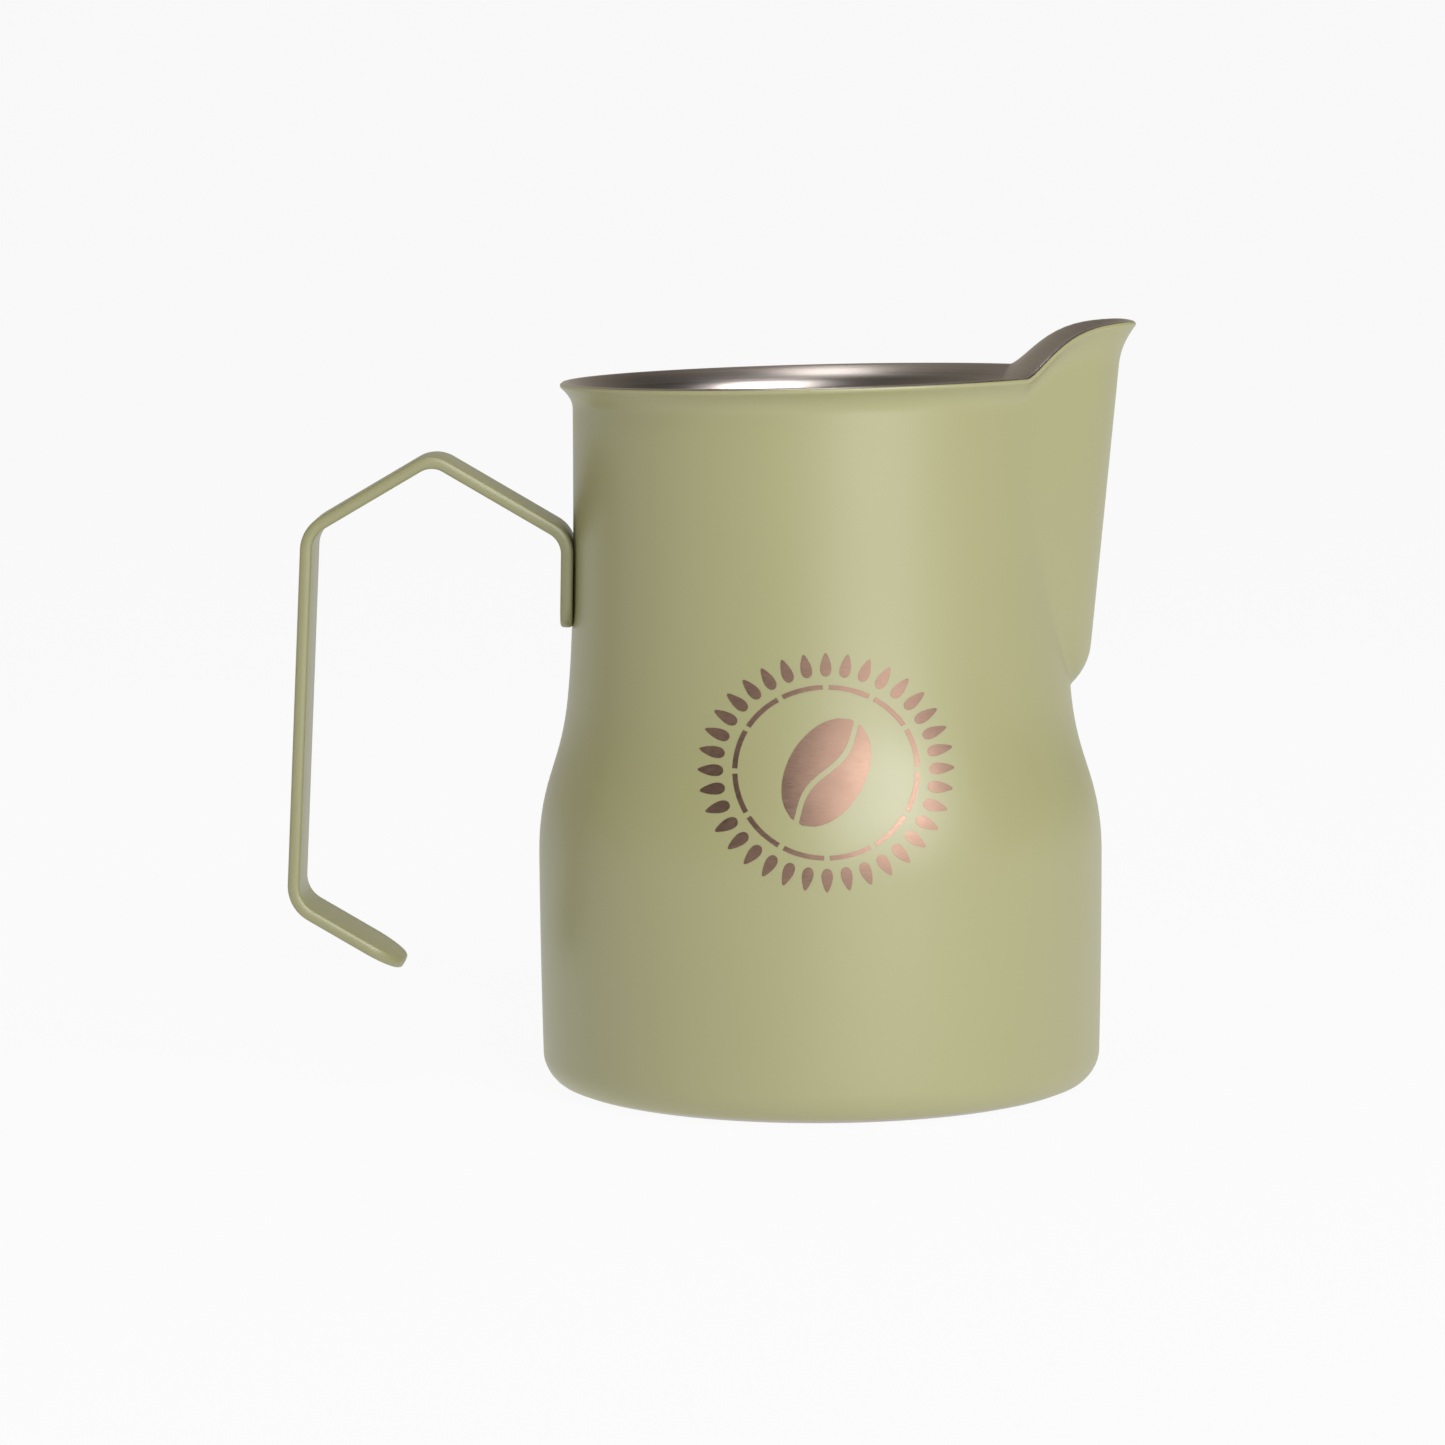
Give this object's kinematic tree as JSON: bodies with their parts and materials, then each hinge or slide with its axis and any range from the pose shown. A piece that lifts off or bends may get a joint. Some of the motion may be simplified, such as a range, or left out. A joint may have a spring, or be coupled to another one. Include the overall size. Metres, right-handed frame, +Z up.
{
  "type": "milk frothing pitcher",
  "caption": "Handheld steel jug for steaming and pouring milk, with a rounded belly, straight neck, curled rim, beak spout and an open bent-strip handle.",
  "frame": {"origin": "centre of the foot ring, on the surface that the jug stands on and on the axis of the round body", "axes": "+Z up, +X towards the spout, handle at -X, symmetric about the plane Y = 0"},
  "size_m": [0.1322, 0.0878, 0.1188],
  "materials": {
    "sheet_steel": "drawn stainless sheet, brushed round the axis inside, polished at the edge of the lip",
    "strip_steel": "stainless strip, covered by the coat",
    "weld_steel": "fused steel inside the joint, not visible",
    "powder_coat": "sage green powder coat, fine satin"
  },
  "bodies": {
    "root": {"pitcher_body": "sheet_steel", "body_coating": "powder_coat", "handle_strip": "strip_steel", "handle_coating": "powder_coat", "spot_weld_1": "weld_steel", "spot_weld_2": "weld_steel", "spot_weld_3": "weld_steel"}
  },
  "joints": []
}
